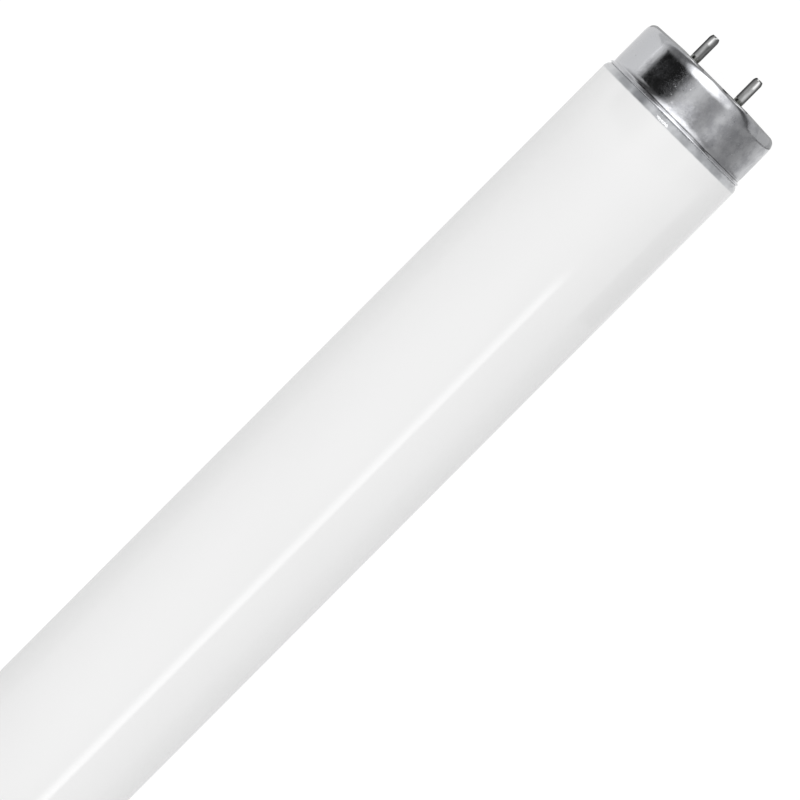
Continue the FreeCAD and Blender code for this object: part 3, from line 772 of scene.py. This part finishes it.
# Cards on the floor and before the wall stand off it, and those on other cards lie one layer higher
CARD_LIFT = 0.2 * MM
SIDE_CARD_LIFT = 0.1 * MM
LAYER = 0.05 * MM
CARD_FLOOR = -TUBE_RADIUS + CARD_LIFT
# A hood round each pin, in two parts
HOOD_RADIUS = 3.0 * MM
HOOD_START = 0.2956
HOOD_CHANGE = 0.2992
HOOD_END = 0.3035
# The studio light's bulb stands behind the lip, a little to the rear of the top
BULB_DEGREES = (2, 13)
BULB_INNER = 0.0212
BULB_OUTER = 0.045
# Half the length of the floor beside the glass, and where it starts out from the axis
SIDE_HALF_LENGTH = 0.6
SIDE_START = 0.021
# The strip light stands over the front side of the glass, brightest along one line, and ends before the cap
LIGHT_RADIUS = 0.4
LIGHT_TOP = math.radians(-28)
LIGHT_BRIGHT_TOP = math.radians(-39.5)
LIGHT_BRIGHT_FOOT = math.radians(-40.5)
LIGHT_FOOT = math.radians(-45)
LIGHT_END = 0.2515
LIGHT_FULL = 0.2475
LIGHT_POWER = 2.3
# Towards the middle of the lamp it is stronger
LIGHT_GROWS = 0.19
LIGHT_GROWN = 0.05
LIGHT_GROWTH = 1.35


def card_finish(name, inner, outer=None, axis=0.0):
    """Glow that changes with the angle round an axis, which lies that far to the rear, and with the
    distance from it."""
    material = bpy.data.materials.new(name)
    tree = cleared(material)
    apart = add(tree, "ShaderNodeSeparateXYZ", {0: add(tree, "ShaderNodeTexCoord")["Object"]})
    across = add(tree, "ShaderNodeMath", {0: apart["Y"], 1: axis}, operation="SUBTRACT")[0]
    angle = add(tree, "ShaderNodeMath", {0: across, 1: apart["Z"]}, operation="ARCTAN2")[0]
    share = add(tree, "ShaderNodeMapRange", {0: angle, 1: -math.pi, 2: math.pi})[0]
    levels = []
    for stops in (inner, outer or inner):
        greys = add(tree, "ShaderNodeValToRGB", {0: share})[0]
        top = max(value for _, value in stops)
        band = greys.node.color_ramp
        while len(band.elements) < len(stops):
            band.elements.new(0.5)
        for element, (degrees, value) in zip(band.elements, stops):
            element.position = (degrees + 180) / 360
            element.color = (value / top, value / top, value / top, 1)
        levels.append(add(tree, "ShaderNodeMath", {0: greys, 1: top}, operation="MULTIPLY")[0])
    flat = add(tree, "ShaderNodeCombineXYZ", {"Y": across, "Z": apart["Z"]})[0]
    distance = add(tree, "ShaderNodeVectorMath", {0: flat}, operation="LENGTH")["Value"]
    outward = {0: distance, 1: INNER_GREYS_END, 2: OUTER_GREYS_START}
    turned_out = add(tree, "ShaderNodeMapRange", outward, **SMOOTH)[0]
    both = {0: turned_out, 2: levels[0], 3: levels[1]}
    level = add(tree, "ShaderNodeMix", both, data_type="FLOAT")[0]
    glow = add(tree, "ShaderNodeEmission", {"Color": (1, 1, 1, 1), "Strength": level})[0]
    add(tree, "ShaderNodeOutputMaterial", {"Surface": glow})
    return material


def card(name, corners, faces, material):
    """A card that shows in shiny surfaces alone. It neither lights nor shadows the lamp."""
    mesh = bpy.data.meshes.new(name)
    mesh.from_pydata(corners, [], faces)
    mesh.materials.append(material)
    piece = new_object(name, mesh)
    piece.visible_camera = False
    piece.visible_diffuse = False
    piece.visible_transmission = False
    piece.visible_shadow = False
    piece.visible_volume_scatter = False


def arc_of_card(first, last, step=3):
    """Places on a circle of radius 1, by degrees from straight up towards the rear."""
    return [(math.sin(math.radians(a)), math.cos(math.radians(a))) for a in range(first, last + 1, step)]


def strip_faces(count):
    """Faces between two rows of that many points."""
    return [(i, i + 1, count + i + 1, count + i) for i in range(count - 1)]


def ring_card(name, x, inner, outer, rim, finish):
    """A flat ring, or a part of one, that stands across the lamp."""
    corners = [(x, r * y, r * z) for r in (inner, outer) for y, z in rim]
    card(name, corners, strip_faces(len(rim)), finish)


def flat_card(name, xs, ys, z, finish):
    """A level rectangle."""
    card(name, [(x, y, z) for x in xs for y in ys], [(0, 1, 3, 2)], finish)


def room_cards(side, sign):
    """The room round one cap: a half tunnel, the openings at its ends and the floor in it."""
    near = sign * ROOM_NEAR
    far = sign * ROOM_FAR
    outer = ROOM_RADIUS
    over = arc_of_card(-93, 90)
    around = arc_of_card(-180, 180, 6)
    tunnel = [(x, outer * y, outer * z) for x in (near, far) for y, z in over]
    card(f"card_tunnel_{side}", tunnel, strip_faces(len(over)), finishes["room"])
    ring_card(f"card_near_{side}", near, OPENING_INNER, OPENING_OUTER, over, finishes["behind"])
    ring_card(f"card_near_upper_{side}", near, OPENING_OUTER, outer, over, finishes["room"])
    ring_card(f"card_far_{side}", far, DIM_RADIUS, outer, over, finishes["before"])
    ring_card(f"card_far_low_{side}", far, 0.0, DIM_RADIUS, around, finishes["dim"])
    beside = (sign * FLOOR_START, far)
    flat_card(f"card_floor_rear_{side}", beside, (PIN_FLOOR_REACH, outer), CARD_FLOOR, finishes["room"])
    flat_card(f"card_floor_front_{side}", beside, (-outer, -PIN_FLOOR_REACH), CARD_FLOOR, finishes["room"])
    ahead = (far, sign * FLOOR_END)
    flat_card(f"card_apron_{side}", ahead, (-outer, outer), CARD_FLOOR, finishes["apron"])
    below_pins = (sign * PIN_FLOOR_START, far)
    reach = (-PIN_FLOOR_REACH, PIN_FLOOR_REACH)
    flat_card(f"card_shade_{side}", below_pins, reach, CARD_FLOOR, finishes["shade"])
    # Painted shadow: a dark card stands for the shade on the floor under the front pin
    pin_shadow = (sign * PIN_FLOOR_START, sign * PIN_SHADOW_END)
    flat_card(f"card_nook_{side}", pin_shadow, PIN_SHADOW_SIDES, CARD_FLOOR + LAYER, finishes["pin_shadow"])


def backdrop_cards(side, sign):
    """The dark fold of the backdrop on the front side, with a paler wall under it."""
    far = sign * ROOM_FAR
    before_far = sign * (ROOM_FAR - CARD_LIFT)
    under = [(-9, -19), (-17.6, 4), (-26.8, 11), (-49, 20), (-155, 37), (-240, 27), (-350, -8)]
    over_fold = [(-4.5, -19), (-13, 8), (-22, 17), (-44, 29), (-146, 55), (-240, 50), (-350, 18)]
    fold = [(before_far, y * MM, z * MM) for y, z in under + over_fold]
    card(f"card_fold_{side}", fold, strip_faces(len(under)), finishes["fold"])
    wall = [(before_far, y * MM, z * MM) for y, z in under]
    wall += [(before_far, y * MM, CARD_FLOOR) for y, _ in under]
    card(f"card_pale_wall_{side}", wall, strip_faces(len(under)), finishes["pale"])
    # The fold runs on over the floor towards the lamp, and the floor outside it is paler too. Its line
    # is given as places across and along the lamp and half its width
    line = [(-350, 311, 5), (-175, 300.2, 2.4), (-88, 295.9, 1.1), (-44, 294.0, 0.4), (-22, 293.4, 0.2)]
    lower = CARD_FLOOR + LAYER
    upper = CARD_FLOOR + 2 * LAYER
    places = [(sign * x * MM, y * MM, lower) for y, x, _ in line]
    places += [(far, y * MM, lower) for y, _, _ in line]
    card(f"card_floor_pale_{side}", places, strip_faces(len(line)), finishes["pale"])
    places = [(sign * (x + d * w) * MM, y * MM, upper) for d in (-1, 1) for y, x, w in line]
    card(f"card_floor_fold_{side}", places, strip_faces(len(line)), finishes["fold"])


def hood_cards(side, sign):
    """A hood round each pin, with a part of its own for the tip."""
    for row, place in ROWS.items():
        middle = place * PIN_REACH
        rim = [(middle + HOOD_RADIUS * y, HOOD_RADIUS * z) for y, z in arc_of_card(-150, 150, 10)]
        for part, first, last in (("hood", HOOD_START, HOOD_CHANGE), ("tip_hood", HOOD_CHANGE, HOOD_END)):
            hood = [(sign * x, y, z) for x in (first, last) for y, z in rim]
            card(f"card_{part}_{side}_{row}", hood, strip_faces(len(rim)), finishes[f"{part}_{row}"])


def glint_card(side, sign):
    """The bulb of the studio light, as a glint on the bare glass."""
    rim = arc_of_card(*BULB_DEGREES, 1)
    behind_near = sign * (ROOM_NEAR - LAYER)
    ring_card(f"card_glint_{side}", behind_near, BULB_INNER, BULB_OUTER, rim, finishes["bulb"])


def side_cards():
    """The floor that the sides of the glass mirror, as darker cards: painted shade beside the lamp."""
    lift = -TUBE_RADIUS + SIDE_CARD_LIFT
    ends = (-SIDE_HALF_LENGTH, SIDE_HALF_LENGTH)
    for label, limits in (("front", (-ROOM_RADIUS, -SIDE_START)), ("rear", (SIDE_START, ROOM_RADIUS))):
        flat_card(f"card_side_{label}", ends, limits, lift, finishes["side"])


def strip_card():
    """A narrow strip light that draws the thin line along the glass, and ends short of the cap."""
    material = bpy.data.materials.new("strip_light_card")
    tree = cleared(material)
    apart = add(tree, "ShaderNodeSeparateXYZ", {0: add(tree, "ShaderNodeTexCoord")["Object"]})
    angle = add(tree, "ShaderNodeMath", {0: apart["Y"], 1: apart["Z"]}, operation="ARCTAN2")[0]
    upper_half = {0: angle, 1: LIGHT_TOP, 2: LIGHT_BRIGHT_TOP}
    rise = add(tree, "ShaderNodeMapRange", upper_half, **SMOOTH)[0]
    lower_half = {0: angle, 1: LIGHT_FOOT, 2: LIGHT_BRIGHT_FOOT}
    fall = add(tree, "ShaderNodeMapRange", lower_half, **SMOOTH)[0]
    by_cap = {0: apart["X"], 1: LIGHT_END, 2: LIGHT_FULL, 4: LIGHT_POWER}
    power = add(tree, "ShaderNodeMapRange", by_cap)[0]
    by_middle = {0: apart["X"], 1: LIGHT_GROWS, 2: LIGHT_GROWN, 3: 1.0, 4: LIGHT_GROWTH}
    more = add(tree, "ShaderNodeMapRange", by_middle)[0]
    across = add(tree, "ShaderNodeMath", {0: rise, 1: fall}, operation="MULTIPLY")[0]
    along = add(tree, "ShaderNodeMath", {0: power, 1: more}, operation="MULTIPLY")[0]
    shape = add(tree, "ShaderNodeMath", {0: across, 1: along}, operation="MULTIPLY")[0]
    strength = add(tree, "ShaderNodeMath", {0: shape, 1: 1.0}, operation="ADD")[0]
    glow = add(tree, "ShaderNodeEmission", {"Color": (1, 1, 1, 1), "Strength": strength})[0]
    add(tree, "ShaderNodeOutputMaterial", {"Surface": glow})
    rim = [(LIGHT_RADIUS * y, LIGHT_RADIUS * z) for y, z in arc_of_card(-48, -28, 2)]
    corners = [(x, y, z) for x in (-SIDE_HALF_LENGTH, LIGHT_END) for y, z in rim]
    card("card_strip", corners, strip_faces(len(rim)), material)


def build_camera():
    """Long lens, straight above the face of the right cap, so that the face is seen edge on."""
    film_width = 36.0
    lens_height = 4.0
    view_width = 0.1667
    leaning = math.radians(45.10)
    aim = Vector((0.2014, -0.00024, 0))
    stand = Vector((FACE_PLANE, 0.0, lens_height))
    back = (stand - aim).normalized()
    right = Vector((math.cos(leaning), -math.sin(leaning), 0))
    right = (right - back * right.dot(back)).normalized()
    up = back.cross(right)
    lens = bpy.data.cameras.new("long_lens")
    lens.sensor_width = film_width
    lens.lens = film_width * lens_height / view_width
    lens.clip_start, lens.clip_end = 0.1, 50.0
    camera = new_object("long_lens", lens)
    turned = Matrix((right, up, back)).transposed()
    camera.matrix_world = Matrix.Translation(stand) @ turned.to_4x4()
    bpy.context.scene.camera = camera


build_floor()
build_world()
build_softbox()
finishes = {name: card_finish(f"{name}_card", ((-180, grey), (180, grey))) for name, grey in EVEN.items()}
finishes["room"] = card_finish("room_card", ROOM)
finishes["behind"] = card_finish("behind_card", BEHIND)
finishes["before"] = card_finish("before_card", BEFORE, ROOM)
finishes["dim"] = card_finish("dim_card", DIM)
for row, place in ROWS.items():
    for part, greys in (("hood", HOODS[row]), ("tip_hood", TIP_HOODS[row])):
        label = f"{part}_{row}"
        finishes[label] = card_finish(f"{label}_card", greys, axis=place * PIN_REACH)
for side, sign in SIDES.items():
    room_cards(side, sign)
    backdrop_cards(side, sign)
    hood_cards(side, sign)
    glint_card(side, sign)
side_cards()
strip_card()
build_camera()
bpy.context.scene.view_settings.view_transform = "Standard"
